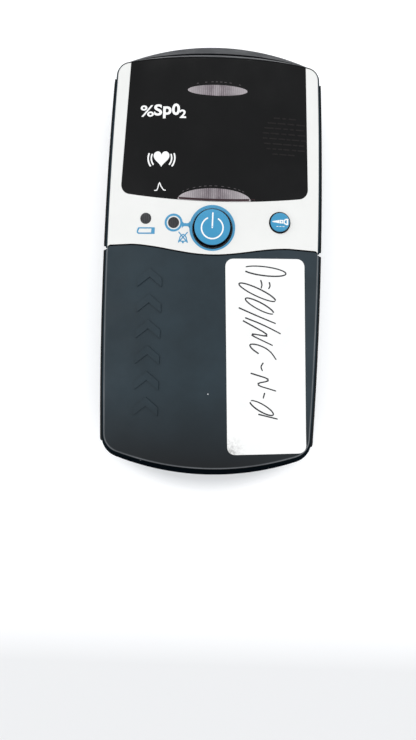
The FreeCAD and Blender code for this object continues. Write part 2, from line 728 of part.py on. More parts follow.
def pan_screw(at, seat_z, upward, head_r, shank_r, length):
    """Screw whose head bears on seat_z; the shank runs up or down from there."""
    x, y = at
    axis = Vector(0, 0, 1 if upward else -1)
    seat = Vector(x, y, seat_z)
    face = seat - axis * SCREW_HEAD
    head = Part.makeCylinder(head_r, SCREW_HEAD, face, axis)
    shank = Part.makeCylinder(shank_r, length, seat, axis)
    cross = []
    reach = SCREW_CROSS * head_r
    for half_x, half_y in ((reach, SCREW_SLOT / 2), (SCREW_SLOT / 2, reach)):
        cross.append(box(x - half_x, x + half_x, y - half_y, y + half_y,
                         face.z - SCREW_SLOT, face.z + SCREW_SLOT))
    return head.fuse(shank).cut(cross)


def capacitors():
    z = MAIN_BOARD_Z + BOARD
    return [post(at, CAPACITOR_R, z, z + CAPACITOR_HIGH) for at in CAPACITORS_AT]


def indicator_leds():
    leds = []
    for x, y in (BATTERY_LAMP_AT, SILENCE_LAMP_AT):
        leds.append(box(x - LED_HALF, x + LED_HALF, y - LED_HALF, y + LED_HALF,
                        DISPLAY_TOP_Z, DISPLAY_TOP_Z + LED_HIGH))
    return leds


def led_bar(y, half):
    return box(-half, half, y - LED_BAR_HALF, y + LED_BAR_HALF, DISPLAY_TOP_Z, DISPLAY_TOP_Z + LED_BAR_HIGH)


# ---- sensor socket --------------------------------------------------------------------------
def contact_places():
    places = []
    for row, count in ((1, 5), (-1, 4)):
        for i in range(count):
            places.append(((i - (count - 1) / 2) * CONTACT_PITCH, SOCKET_Z + row * CONTACT_ROW / 2))
    return places


def connector_shell():
    """Drawn metal shell with its flange behind the socket's floor."""
    x, z = SHELL_FLANGE
    tube = d_solid(0.0, SHELL_BACK_Y, SOCKET_FLOOR_Y)
    flange = box(-x, x, SHELL_BACK_Y, SHELL_BACK_Y + FLANGE_METAL, SOCKET_Z - z, SOCKET_Z + z)
    return tube.fuse(flange).cut(d_solid(-D_METAL, SHELL_BACK_Y - 1, SOCKET_FLOOR_Y + 1)).removeSplitter()


def connector_body():
    """Insulator with a bore for each contact."""
    x = SHELL_FLANGE[0]
    block = box(-x, x, MAIN_BOARD_TOP_Y, SHELL_BACK_Y, SOCKET_Z - BLOCK_HALF_Z, SOCKET_Z + BLOCK_HALF_Z)
    nose = d_solid(-NOSE_INSET, SHELL_BACK_Y, SOCKET_FLOOR_Y - NOSE_STEP)
    holes = []
    for at_x, at_z in contact_places():
        holes += [rod(at_x, at_z, PIN_HOLE_R, PIN_HOLE_Y), rod(at_x, at_z, TAIL_R, TAIL_HOLE_Y)]
    return block.fuse(nose).cut(holes)


def connector_contacts():
    contacts = []
    for x, z in contact_places():
        pin = rod(x, z, PIN_R, PIN_Y).fuse(rod(x, z, TAIL_R, TAIL_Y))
        contacts.append(pin.cut(rod(x, z, BORE_R, BORE_Y)).removeSplitter())
    return contacts


# ---- battery compartment --------------------------------------------------------------------
def chassis():
    """Tray that holds the cells; its upper end plugs into the case and closes it."""
    inset = WALL + SLIP
    form = front_form(inset, FRONT_WALL + CHASSIS_DROP).fuse(rear_form(inset, inset, INNER_EDGE_R))
    form = form.common(slab(*CHASSIS_Y))
    tray = box(-TRAY_HALF, TRAY_HALF, *TRAY_Y, TRAY_FLOOR_Z, ABOVE_Z)
    sides = slab(TRAY_Y[0] + TRAY_RAIL, TRAY_Y[1] - TRAY_RAIL, TRAY_SIDE_Z, ABOVE_Z)
    return form.cut([tray, sides, face_hole(POWER_AT, POWER_CAP_R + BUTTON_ROOM)]).removeSplitter()


def cell_places():
    return [((i - 1.5) * CELL_PITCH, i % 2 == 0) for i in range(4)]


def cell_z():
    return TRAY_FLOOR_Z + CELL_FLOAT + CELL_R


def cell(x, nub_up):
    sign = 1 if nub_up else -1
    middle = (TRAY_Y[0] + TRAY_Y[1]) / 2 + sign * CELL_SHIFT
    half = CELL_LENGTH / 2
    can = rod(x, cell_z(), CELL_R, (middle - half, middle + half))
    can = can.makeFillet(CELL_EDGE_R, [e for e in can.Edges if e.BoundBox.YLength < TOUCH])
    start = Vector(x, middle + sign * half, cell_z())
    return can.fuse(Part.makeCylinder(CELL_NUB_R, CELL_NUB, start, Vector(0, sign, 0)))


def leaf_spring(x, nub_up):
    """Bowed contact leaf pressing on the flat end of a cell."""
    wall_y = TRAY_Y[0] + SPRING_OFF if nub_up else TRAY_Y[1] - SPRING_OFF
    sign = 1 if nub_up else -1
    half = SPRING_HALF
    inner = half - SPRING_END

    def at(dy, dz):
        return Vector(x - SPRING_WIDE / 2, wall_y + sign * dy, cell_z() + dz)

    edges = [
        arc(at(0, -half), at(SPRING_BOW, 0), at(0, half)),
        line(at(0, half), at(0, inner)),
        arc(at(0, inner), at(SPRING_BOW - CONTACT_METAL, 0), at(0, -inner)),
        line(at(0, -inner), at(0, -half)),
    ]
    return Part.Face(Part.Wire(edges)).extrude(Vector(SPRING_WIDE, 0, 0))


def contact_plate(x, y0):
    half = CONTACT_HALF
    return box(x - half, x + half, y0, y0 + CONTACT_METAL, cell_z() - half, cell_z() + half)


def battery_cover(grips, grooves):
    """Cup-shaped sleeve over the cell tray, with the raised badge on its face."""
    front = front_form(0.0, 0.0, COVER_EDGE_R)
    front = front.common(seam_region(-SEAM_GAP / 2, False)).cut(under_shoulders())
    rear = rear_form(0.0, 0.0, BACK_EDGE_R)
    rear = rear.common(slab(-FAR, REAR_WAIST_Y - SEAM_GAP / 2))
    front = front.cut(front_form(WALL, WALL))
    rear = rear.cut(rear_form(WALL, WALL, INNER_EDGE_R))
    sleeve = front.fuse(rear).cut([grooves] + grips)
    return sleeve.fuse(badge()).removeSplitter()


def under_shoulders():
    """What is cut from under the shoulders of the cover, so that they don't thin out to nothing."""
    y0 = WAIST_Y - SEAM_GAP / 2
    corners = [Vector(-FAR, y0, 0), Vector(FAR, y0, 0), Vector(FAR, FAR, 0), Vector(-FAR, FAR, 0)]
    edges = [line(a, b) for a, b in zip(corners, corners[1:] + corners[:1])]
    return leaning_prism(edges).common(slab(-FAR, FAR, BELOW_Z, COVER_SHOULDER_Z))


def badge():
    """Column of raised chevrons that follow the crowned face."""
    y0, y1 = BADGE_Y
    pitch = (y1 - y0) / BADGE_COUNT
    crown = crown_solid(-BADGE_RISE).cut(crown_solid(BADGE_ROOT))
    x0, x1 = BADGE_X - BADGE_HALF, BADGE_X + BADGE_HALF
    marks = []
    for i in range(BADGE_COUNT):
        y = y0 + pitch * (i + 0.5) - BADGE_PEAK / 2
        peak = y + BADGE_PEAK
        points = [Vector(x0, y, 0), Vector(BADGE_X, peak, 0), Vector(x1, y, 0), Vector(x1, y + BADGE_BAR, 0),
                  Vector(BADGE_X, peak + BADGE_BAR, 0), Vector(x0, y + BADGE_BAR, 0)]
        face = Part.Face(Part.makePolygon(points + points[:1]))
        marks.append(face.extrude(Vector(0, 0, ABOVE_Z)).common(crown))
    return marks


def sticker():
    sheet = prism(rounded_rectangle(*STICKER_SIZE, STICKER_CORNER_R), HOLE_Z, ABOVE_Z)
    sheet.rotate(Vector(0, 0, 0), Vector(0, 0, 1), STICKER_TURN)
    sheet.translate(Vector(*STICKER_AT, 0))
    return sheet.common(crown_solid(-STICKER_THICK - STICKER_OFF).cut(crown_solid(-STICKER_OFF)))


# ---- assembly -------------------------------------------------------------------------------
def save(name, shape):
    if isinstance(shape, list):
        shape = Part.makeCompound(shape)
    solids = shape.Solids
    print(name, len(solids), "solids", round(sum(s.Volume for s in solids), 1), "mm3", shape.isValid())
    shape.exportStep("parts/" + name + ".step")


def save_case():
    grooves = waist_grooves()
    upper = upper_grips(grooves)
    lower = cover_grips(grooves)
    save("upper_side_grips", upper)
    save("cover_side_grips", lower)
    save("front_shell", front_shell(upper, grooves))
    save("rear_shell", rear_shell(upper, grooves))
    save("battery_cover", battery_cover(lower, grooves))
    save("rear_label", label_solid(0.0, *LABEL_Z))
    save("asset_sticker", sticker())


def save_face():
    save("fascia_plate", fascia_plate())
    save("display_window", display_window())
    save("alarm_lens", lens(alarm_lens_region(0.0)))
    save("pulse_lens", lens(pulse_lens_region(0.0)))
    save("low_battery_lens", lamp_lens(BATTERY_LAMP_AT))
    save("alarm_silence_lens", lamp_lens(SILENCE_LAMP_AT))
    save("power_cap", button_cap(POWER_AT, POWER_CAP_R, POWER_TOP_Z, POWER_FLANGE_Z, POWER_STEM_Z))
    save("backup_cap", button_cap(BACKUP_AT, BACKUP_CAP_R, BACKUP_TOP_Z, BACKUP_FLANGE_Z, BACKUP_STEM_Z))
    save("power_plunger", plunger(POWER_AT, POWER_STEM_Z))
    save("backup_plunger", plunger(BACKUP_AT, BACKUP_STEM_Z))


def save_boards():
    save("main_board", board(MAIN_BOARD_HALF, MAIN_BOARD_TOP_Y, MAIN_BOARD_Z, [],
                             MAIN_SCREWS_AT, MAIN_HOLE_R))
    save("display_board", board(DISPLAY_BOARD_HALF, BOARD_TOP_Y, DISPLAY_BOARD_Z, CASE_SCREWS_AT,
                                DISPLAY_SCREWS_AT, DISPLAY_HOLE_R))
    save("power_switch", switch_body(POWER_AT))
    save("backup_switch", switch_body(BACKUP_AT))
    save("spo2_digit_display", digit_display(SPO2_DIGITS_Y))
    save("pulse_digit_display", digit_display(PULSE_DIGITS_Y))
    save("alarm_led_bar", led_bar(ALARM_LENS_Y, ALARM_BAR_HALF))
    save("pulse_led_bar", led_bar(PULSE_BAR_Y, PULSE_BAR_HALF))
    save("indicator_leds", indicator_leds())
    save("processor_chip", chip(*PROCESSOR))
    save("analog_chip", chip(*ANALOG))
    save("board_header", box(*HEADER_X, *HEADER_Y, MAIN_BOARD_Z + BOARD, DISPLAY_BOARD_Z))
    save("board_capacitors", capacitors())
    save("sounder", post(SOUNDER_AT, SOUNDER_R, SOUNDER_Z, MAIN_BOARD_Z))
    save("connector_shell", connector_shell())
    save("connector_body", connector_body())
    save("connector_contacts", connector_contacts())


def save_battery():
    save("battery_chassis", chassis())
    for i, (x, nub_up) in enumerate(cell_places()):
        save("battery_cell_" + str(i + 1), cell(x, nub_up))
    save("battery_springs", [leaf_spring(x, nub_up) for x, nub_up in cell_places()])
    plate_y = (TRAY_Y[0], TRAY_Y[1] - CONTACT_METAL)
    save("battery_contact_plates", [contact_plate(x, y) for x, _ in cell_places() for y in plate_y])


def save_screws():
    main_z = MAIN_BOARD_Z + BOARD
    save("case_screws", [pan_screw(at, WELL_TOP_Z, True, **CASE_SCREW) for at in CASE_SCREWS_AT])
    save("main_board_screws", [pan_screw(at, main_z, False, **MAIN_SCREW) for at in MAIN_SCREWS_AT])
    save("display_board_screws", [pan_screw(at, DISPLAY_BOARD_Z, True, **DISPLAY_SCREW)
                                  for at in DISPLAY_SCREWS_AT])


os.makedirs("parts", exist_ok=True)
save_case()
save_face()
save_boards()
save_battery()
save_screws()
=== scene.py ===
"""Looks of a handheld pulse oximeter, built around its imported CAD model. Metres; drawings are in mm."""
import math
import random

import bmesh
import bpy
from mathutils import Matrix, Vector
from mathutils.bvhtree import BVHTree


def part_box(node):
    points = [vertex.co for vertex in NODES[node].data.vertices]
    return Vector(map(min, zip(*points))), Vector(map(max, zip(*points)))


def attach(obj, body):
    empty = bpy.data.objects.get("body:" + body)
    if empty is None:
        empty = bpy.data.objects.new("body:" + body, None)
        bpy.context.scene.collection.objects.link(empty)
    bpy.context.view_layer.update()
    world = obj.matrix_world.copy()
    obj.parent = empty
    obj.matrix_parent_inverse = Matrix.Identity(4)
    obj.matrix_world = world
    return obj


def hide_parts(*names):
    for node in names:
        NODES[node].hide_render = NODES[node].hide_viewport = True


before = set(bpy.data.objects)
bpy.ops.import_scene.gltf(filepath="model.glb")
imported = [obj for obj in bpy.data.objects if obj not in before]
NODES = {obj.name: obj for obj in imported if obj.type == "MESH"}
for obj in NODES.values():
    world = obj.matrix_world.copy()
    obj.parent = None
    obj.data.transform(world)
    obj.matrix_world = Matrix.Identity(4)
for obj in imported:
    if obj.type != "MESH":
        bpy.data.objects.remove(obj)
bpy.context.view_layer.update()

MM = 0.001
random.seed(7)

# Places on the face, in the row frame, mm.
POWER_AT = (-0.3, 7.5)
BACKUP_AT = (20.05, 10.0)
SILENCE_LAMP_AT = (-12.0, 8.85)
POWER_RING_R = (5.86, 6.9)
SILENCE_RING_R = (2.05, 2.7)
STICKER_AT = (17.2, -30.6)
STICKER_SIZE = (24.1, 59.0)
STICKER_TURN = math.radians(2.43)
STICKER_CORNER_R = 2.3
ALARM_LENS_AT = (0, 49.0)
PULSE_LENS_AT = (0, 15.9)
PLATE_EDGE_BOW = 334         # the plate's edge under the window rises by x squared over this

# The case in metres, for the materials.
FLOOR_HALF = 1.5
LOWER_END_BOW = 11.5         # the lower end rises by this times x squared
HOOD_BOW = 2.6               # the face's upper edge falls by this times x squared
CROWN_BOW = 3.1              # and so does the height of the hood
PIPE_HALF = 0.0115


# ---- camera, light and floor ----------------------------------------------------------------
def add_camera():
    data = bpy.data.cameras.new("camera")
    data.sensor_width = 36.0
    data.lens = 31.41
    data.clip_start = 0.01
    camera = bpy.data.objects.new("camera", data)
    camera.location = (-0.0002, -0.0352, 0.2242)
    camera.rotation_euler = (0.0, 0.0, math.radians(1.85))
    bpy.context.scene.collection.objects.link(camera)
    bpy.context.scene.camera = camera


def add_area(name, place, aim, size, power, colour=(1, 1, 1)):
    data = bpy.data.lights.new(name, "AREA")
    data.shape = "RECTANGLE"
    data.size, data.size_y = size
    data.energy = power
    data.color = colour
    lamp = bpy.data.objects.new(name, data)
    lamp.location = place
    direction = Vector(aim) - Vector(place)
    lamp.rotation_euler = direction.to_track_quat("-Z", "Y").to_euler()
    bpy.context.scene.collection.objects.link(lamp)


def add_lights():
    world = bpy.data.worlds.new("studio")
    world.use_nodes = True
    background = world.node_tree.nodes["Background"]
    background.inputs["Color"].default_value = (0.95, 0.97, 1.0, 1)
    background.inputs["Strength"].default_value = 0.76
    bpy.context.scene.world = world
    add_area("key", (0.0, 0.72, 0.84), (0, 0, 0), (0.8, 0.34), 2.7)
    add_area("left", (-0.68, 0.05, 0.66), (0, 0, 0), (0.4, 0.9), 2.4)
    add_area("right", (0.68, 0.05, 0.66), (0, 0, 0), (0.4, 0.9), 2.6)
    add_area("front", (0.0, -0.55, 0.80), (0, 0, 0), (0.9, 0.4), 0.9)
    view = bpy.context.scene.view_settings
    view.view_transform = "Standard"
    view.look = "None"


def add_floor():
    mesh = bpy.data.meshes.new("floor")
    corners = [(-1, -1), (1, -1), (1, 1), (-1, 1)]
    mesh.from_pydata([(x * FLOOR_HALF, y * FLOOR_HALF, 0) for x, y in corners], [], [(0, 1, 2, 3)])
    floor = bpy.data.objects.new("floor", mesh)
    bpy.context.scene.collection.objects.link(floor)
    floor.location.z = -0.00002
    mesh.materials.append(floor_material())


def floor_material():
    """Pale paper with painted light: a painted falloff greys it well below the object, and a painted soft
    shadow lies along the object's lower end.
    """
    material, nodes, links, shader = new_material("floor_paper", (0.93, 0.935, 0.94), 0.75)
    shader.inputs["Emission Color"].default_value = (1, 1, 1, 1)
    shader.inputs["Emission Strength"].default_value = 0.18
    speckle(nodes, links, shader, (0.92, 0.925, 0.93), (0.945, 0.945, 0.945), 14.0)
    # Painted falloff of the light: the paper greys well below the object.
    far = along_axis(nodes, links, "Y", -0.100, -0.138)
    paper = mix_rgba(nodes, links, far, base_colour(shader), (0.555, 0.557, 0.56))
    # Painted soft shadow on the paper along the object's lower end.
    painted_shadow_band = scaled(nodes, links, arched(nodes, links, "Y", -LOWER_END_BOW), -0.0785, -0.0735)
    x_squared = arched(nodes, links, "Z", 1.0)
    middle = scaled(nodes, links, x_squared, 0.0011, 0.0006)
    shade = product(nodes, links, painted_shadow_band, middle, along_axis(nodes, links, "Y", -0.046, -0.060))
    links.new(mix_rgba(nodes, links, shade, paper, (0.60, 0.61, 0.62)), shader.inputs["Base Color"])
    vary_roughness(nodes, links, shader, 0.7, 0.85, 30.0)
    add_bump(nodes, links, shader, noise_factor(nodes, links, 900.0), 0.05, 0.0001)
    return material


# ---- materials ------------------------------------------------------------------------------
def new_material(name, colour, roughness, metallic=0.0, sheen_level=0.24, **sockets):
    """A principled material and the parts that the caller goes on building with."""
    material = bpy.data.materials.new(name)
    material.use_nodes = True
    nodes, links = material.node_tree.nodes, material.node_tree.links
    shader = nodes["Principled BSDF"]
    shader.inputs["Base Color"].default_value = (*colour, 1)
    shader.inputs["Roughness"].default_value = roughness
    shader.inputs["Metallic"].default_value = metallic
    shader.inputs["Specular IOR Level"].default_value = 0.5 if metallic else sheen_level
    for socket, value in sockets.items():
        shader.inputs[socket.replace("_", " ")].default_value = value
    return material, nodes, links, shader


def parts_of(material):
    """The node tree's nodes and links and the shader, for a material that is built already."""
    nodes, links = material.node_tree.nodes, material.node_tree.links
    return nodes, links, nodes["Principled BSDF"]


def base_colour(shader):
    """The socket that feeds the shader's colour so far."""
    return shader.inputs["Base Color"].links[0].from_socket


def product(nodes, links, first, *others):
    for other in others:
        node = nodes.new("ShaderNodeMath")
        node.operation = "MULTIPLY"
        links.new(first, node.inputs[0])
        links.new(other, node.inputs[1])
        first = node.outputs[0]
    return first


def below(nodes, links, value, limit):
    node = nodes.new("ShaderNodeMath")
    node.operation = "LESS_THAN"
    node.inputs[1].default_value = limit
    links.new(value, node.inputs[0])
    return node.outputs[0]


def normal_z(nodes, links):
    split = nodes.new("ShaderNodeSeparateXYZ")
    links.new(nodes.new("ShaderNodeNewGeometry").outputs["Normal"], split.inputs["Vector"])
    return split.outputs["Z"]


def object_point(nodes):
    return nodes.new("ShaderNodeTexCoord").outputs["Object"]


def noise_factor(nodes, links, scale, detail=3.0, roughness=0.55):
    texture = nodes.new("ShaderNodeTexNoise")
    texture.inputs["Scale"].default_value = scale
    texture.inputs["Detail"].default_value = detail
    texture.inputs["Roughness"].default_value = roughness
    links.new(object_point(nodes), texture.inputs["Vector"])
    return texture.outputs["Fac"]


def ramp(nodes, links, factor, stops):
    """Colour ramp through (position, colour) stops."""
    node = nodes.new("ShaderNodeValToRGB")
    elements = node.color_ramp.elements
    while len(elements) < len(stops):
        elements.new(0.5)
    for element, (place, colour) in zip(elements, stops):
        element.position = place
        element.color = (*colour, 1)
    links.new(factor, node.inputs["Fac"])
    return node.outputs["Color"]


def mix_rgba(nodes, links, factor, a, b):
    node = nodes.new("ShaderNodeMix")
    node.data_type = "RGBA"
    links.new(factor, node.inputs[0])
    for value, index in ((a, 6), (b, 7)):
        if isinstance(value, tuple):
            node.inputs[index].default_value = (*value, 1)
        else:
            links.new(value, node.inputs[index])
    return node.outputs[2]


def speckle(nodes, links, shader, dark, light, scale, detail=4.0):
    """Slow colour variation between two shades."""
    factor = noise_factor(nodes, links, scale, detail)
    links.new(ramp(nodes, links, factor, [(0.35, dark), (0.65, light)]), shader.inputs["Base Color"])


def vary_roughness(nodes, links, shader, low, high, scale):
    node = nodes.new("ShaderNodeMapRange")
    links.new(noise_factor(nodes, links, scale, 5.0), node.inputs["Value"])
    node.inputs["From Min"].default_value = 0.3
    node.inputs["From Max"].default_value = 0.7
    node.inputs["To Min"].default_value = low
    node.inputs["To Max"].default_value = high
    links.new(node.outputs["Result"], shader.inputs["Roughness"])


def add_bump(nodes, links, shader, height, strength, distance):
    node = nodes.new("ShaderNodeBump")
    node.inputs["Strength"].default_value = strength
    node.inputs["Distance"].default_value = distance
    links.new(height, node.inputs["Height"])
    links.new(node.outputs["Normal"], shader.inputs["Normal"])
    return node


def edge_band(nodes, links, low, high):
    """1 where the surface leans between level and upright, as on a rounded edge, and 0 elsewhere."""
    ends = [(0.0, (0, 0, 0)), (low, (0, 0, 0)), ((low + high) / 2, (1, 1, 1)), (high, (0, 0, 0)),
            (1.0, (0, 0, 0))]
    return ramp(nodes, links, normal_z(nodes, links), ends)


def moulded(name, colour, roughness, grain=5200.0, relief=0.25, spread=0.12, **sockets):
    """Moulded plastic: fine spark-eroded grain, slow shade changes and rubbed patches."""
    material, nodes, links, shader = new_material(name, colour, roughness, **sockets)
    dark = tuple(c * (1 - spread) for c in colour)
    light = tuple(c * (1 + spread) for c in colour)
    speckle(nodes, links, shader, dark, light, 90.0)
    vary_roughness(nodes, links, shader, roughness - 0.06, roughness + 0.07, 140.0)
    add_bump(nodes, links, shader, noise_factor(nodes, links, grain, 2.0), relief, 0.00004)
    return material


def with_dust(material, size=900.0, amount=0.0016, colour=(0.62, 0.64, 0.66)):
    """Sparse pale specks lying on a dark surface."""
    nodes, links, shader = parts_of(material)
    base = base_colour(shader)
    cells = nodes.new("ShaderNodeTexVoronoi")
    cells.inputs["Scale"].default_value = size
    cells.inputs["Randomness"].default_value = 1.0
    links.new(object_point(nodes), cells.inputs["Vector"])
    near = below(nodes, links, cells.outputs["Distance"], 0.17)
    chosen = nodes.new("ShaderNodeSeparateColor")
    links.new(cells.outputs["Color"], chosen.inputs["Color"])
    speck = product(nodes, links, near, below(nodes, links, chosen.outputs["Red"], amount))
    links.new(mix_rgba(nodes, links, speck, base, colour), shader.inputs["Base Color"])
    return material


def with_painted_edge_highlight(material, colour, amount, low=0.25, high=0.93):
    """Painted highlight: a paler line, in patches, along the rounded edges of the case."""
    nodes, links, shader = parts_of(material)
    base = base_colour(shader)
    patchy = nodes.new("ShaderNodeMapRange")
    links.new(noise_factor(nodes, links, 110.0, 4.0), patchy.inputs["Value"])
    patchy.inputs["From Min"].default_value = 0.3
    patchy.inputs["From Max"].default_value = 0.65
    patchy.inputs["To Min"].default_value = amount * 0.55
    patchy.inputs["To Max"].default_value = amount
    share = product(nodes, links, edge_band(nodes, links, low, high), patchy.outputs["Result"])
    links.new(mix_rgba(nodes, links, share, base, colour), shader.inputs["Base Color"])
    return material


def with_dull_sides(material, level):
    """No gloss on the upright sides, which are rubbed dull, and the given level elsewhere."""
    nodes, links, shader = parts_of(material)
    stops = [(0.0, (0, 0, 0)), (0.40, (0, 0, 0)), (0.6, (level,) * 3)]
    links.new(ramp(nodes, links, normal_z(nodes, links), stops), shader.inputs["Specular IOR Level"])
    return material


def object_axis(nodes, links, axis):
    split = nodes.new("ShaderNodeSeparateXYZ")
    links.new(object_point(nodes), split.inputs["Vector"])
    return split.outputs[axis]


def arched(nodes, links, axis, bow):
    """An object coordinate plus bow times X squared, in metres: level along a bowed line."""
    split = nodes.new("ShaderNodeSeparateXYZ")
    links.new(object_point(nodes), split.inputs["Vector"])
    square = product(nodes, links, split.outputs["X"], split.outputs["X"])
    total = nodes.new("ShaderNodeMath")
    total.operation = "MULTIPLY_ADD"
    links.new(square, total.inputs[0])
    total.inputs[1].default_value = bow
    links.new(split.outputs[axis], total.inputs[2])
    return total.outputs[0]


def scaled(nodes, links, value, low, high):
    node = nodes.new("ShaderNodeMapRange")
    links.new(value, node.inputs["Value"])
    node.inputs["From Min"].default_value = low
    node.inputs["From Max"].default_value = high
    return node.outputs["Result"]


def with_painted_hood_light(material, hood, light):
    """End hood: a dull slope darkened with painted shade, a painted shadow line under the face's edge and a
    thin painted highlight line above that.
    """
    nodes, links, shader = parts_of(material)
    base = base_colour(shader)
    low, high = 0.022, 0.032
    height = scaled(nodes, links, arched(nodes, links, "Z", CROWN_BOW), low, high)
    # Painted light on the hood: the darkest colour is a painted shadow line, the pale one a painted highlight
    # line and the hood colour the painted shade of the slope.
    painted_shadow_black = (0.002, 0.002, 0.003)
    stops = [(0.0245, hood), (0.0252, painted_shadow_black), (0.0277, painted_shadow_black), (0.0284, light), (0.0292, light),
             (0.0297, painted_shadow_black)]
    colour = ramp(nodes, links, height, [((z - low) / (high - low), c) for z, c in stops])
    gloss_stops = [(0.0245, 0.07), (0.0252, 0.0), (0.0277, 0.0), (0.0284, 0.1)]
    gloss = ramp(nodes, links, height, [((z - low) / (high - low), (g, g, g)) for z, g in gloss_stops])
    end = scaled(nodes, links, arched(nodes, links, "Y", HOOD_BOW), 0.0582, 0.0588)
    links.new(mix_rgba(nodes, links, end, base, colour), shader.inputs["Base Color"])
    level = shader.inputs["Specular IOR Level"].links[0].from_socket
    links.new(mix_rgba(nodes, links, end, level, gloss), shader.inputs["Specular IOR Level"])
    return material


def with_painted_end_shade(material, low, high, colour):
    """Painted shade that darkens the surface towards its lower end."""
    nodes, links, shader = parts_of(material)
    base = base_colour(shader)
    mask = along_axis(nodes, links, "Y", high, low)
    links.new(mix_rgba(nodes, links, mask, base, colour), shader.inputs["Base Color"])
    return material


def along_axis(nodes, links, axis, low, high):
    """Runs from 0 at low to 1 at high along an object axis, in metres; low may be the larger."""
    return scaled(nodes, links, object_axis(nodes, links, axis), low, high)


def key_material(name, blue, dark, edge_z):
    """Key cap: blue on its top, dark below the edge."""
    material, nodes, links, shader = new_material(name, blue, 0.34)
    factor = noise_factor(nodes, links, 260.0)
    shade = ramp(nodes, links, factor, [(0.3, tuple(c * 0.92 for c in blue)), (0.7, blue)])
    mask = along_axis(nodes, links, "Z", edge_z - 0.00012, edge_z + 0.00004)
    links.new(mix_rgba(nodes, links, mask, dark, shade), shader.inputs["Base Color"])
    vary_roughness(nodes, links, shader, 0.28, 0.42, 400.0)
    add_bump(nodes, links, shader, noise_factor(nodes, links, 4200.0), 0.12, 0.00003)
    return material


def metal(name, colour, roughness, grain=900.0):
    material, nodes, links, shader = new_material(name, colour, roughness, 1.0)
    vary_roughness(nodes, links, shader, roughness - 0.06, roughness + 0.12, grain)
    speckle(nodes, links, shader, tuple(c * 0.86 for c in colour), colour, 160.0)
    add_bump(nodes, links, shader, noise_factor(nodes, links, grain * 4), 0.15, 0.00002)
    return material


def light_pipe_material(name, base, dark, painted_glint=None):
    """Frosted light pipe: fine facets seen through a smooth top; the last argument is the colour of painted
    glints, strongest at its two ends.
    """
    material, nodes, links, shader = new_material(name, base, 0.3, Coat_Weight=0.6, Coat_Roughness=0.08)
    ribs = nodes.new("ShaderNodeTexWave")
    ribs.inputs["Scale"].default_value = 520.0
    ribs.inputs["Distortion"].default_value = 2.0
    ribs.inputs["Detail"].default_value = 2.0
    links.new(object_point(nodes), ribs.inputs["Vector"])
    colour = ramp(nodes, links, ribs.outputs["Fac"], [(0.1, dark), (0.8, base)])
    patches = noise_factor(nodes, links, 420.0, 6.0, 0.7)
    cloud = ramp(nodes, links, patches, [(0.38, (0, 0, 0)), (0.66, (1, 1, 1))])
    clouded = mix_rgba(nodes, links, cloud, colour, dark)
    # Painted glints: paler at the pipe's two ends and fainter across its middle.
    if painted_glint:
        side = along_axis(nodes, links, "X", -PIPE_HALF, PIPE_HALF)
        shares = [(0.05, 0.65), (0.3, 0.25), (0.42, 0.0), (0.49, 0.3), (0.56, 0.0), (0.7, 0.3), (0.95, 0.65)]
        painted_glints = ramp(nodes, links, side, [(place, (share,) * 3) for place, share in shares])
        clouded = mix_rgba(nodes, links, painted_glints, clouded, painted_glint)
    links.new(clouded, shader.inputs["Base Color"])
    vary_roughness(nodes, links, shader, 0.22, 0.45, 600.0)
    add_bump(nodes, links, shader, ribs.outputs["Fac"], 0.3, 0.0001)
    return material


def board_material(name):
    """Green solder mask over copper tracks."""
    material, nodes, links, shader = new_material(name, (0.01, 0.12, 0.05), 0.35, Coat_Weight=0.4)
    bricks = nodes.new("ShaderNodeTexBrick")
    bricks.inputs["Scale"].default_value = 260.0
    bricks.inputs["Mortar Size"].default_value = 0.03
    bricks.inputs["Color1"].default_value = (0.008, 0.10, 0.042, 1)
    bricks.inputs["Color2"].default_value = (0.010, 0.13, 0.055, 1)
    bricks.inputs["Mortar"].default_value = (0.03, 0.24, 0.10, 1)
    links.new(object_point(nodes), bricks.inputs["Vector"])
    links.new(bricks.outputs["Color"], shader.inputs["Base Color"])
    vary_roughness(nodes, links, shader, 0.28, 0.45, 500.0)
    add_bump(nodes, links, shader, bricks.outputs["Fac"], 0.3, 0.00004)
    return material


def jacket_material(name, band_low, band_high, flip):
    """Printed cell jacket: dark body and a copper band at the positive end."""
    material, nodes, links, shader = new_material(name, (0.02, 0.03, 0.045), 0.25, Coat_Weight=0.5)
    copper, body = (0.50, 0.21, 0.07), (0.014, 0.018, 0.026)
    pair = (body, copper) if not flip else (copper, body)
    mask = along_axis(nodes, links, "Y", band_low, band_high)
    links.new(mix_rgba(nodes, links, mask, *pair), shader.inputs["Base Color"])
    vary_roughness(nodes, links, shader, 0.2, 0.34, 300.0)
    add_bump(nodes, links, shader, noise_factor(nodes, links, 2500.0), 0.06, 0.00003)
    return material


def print_material(name, colour, roughness=0.4, sheen_level=0.3):
    """Thin flat colour for screen-printed ink and for painted shadows and reflections: nearly even, with a
    little mottle.
    """
    material, nodes, links, shader = new_material(name, colour, roughness, sheen_level=sheen_level)
    speckle(nodes, links, shader, tuple(c * 0.93 for c in colour), colour, 900.0)
    vary_roughness(nodes, links, shader, roughness - 0.05, roughness + 0.08, 800.0)
    add_bump(nodes, links, shader, noise_factor(nodes, links, 5000.0), 0.08, 0.00001)
    return material


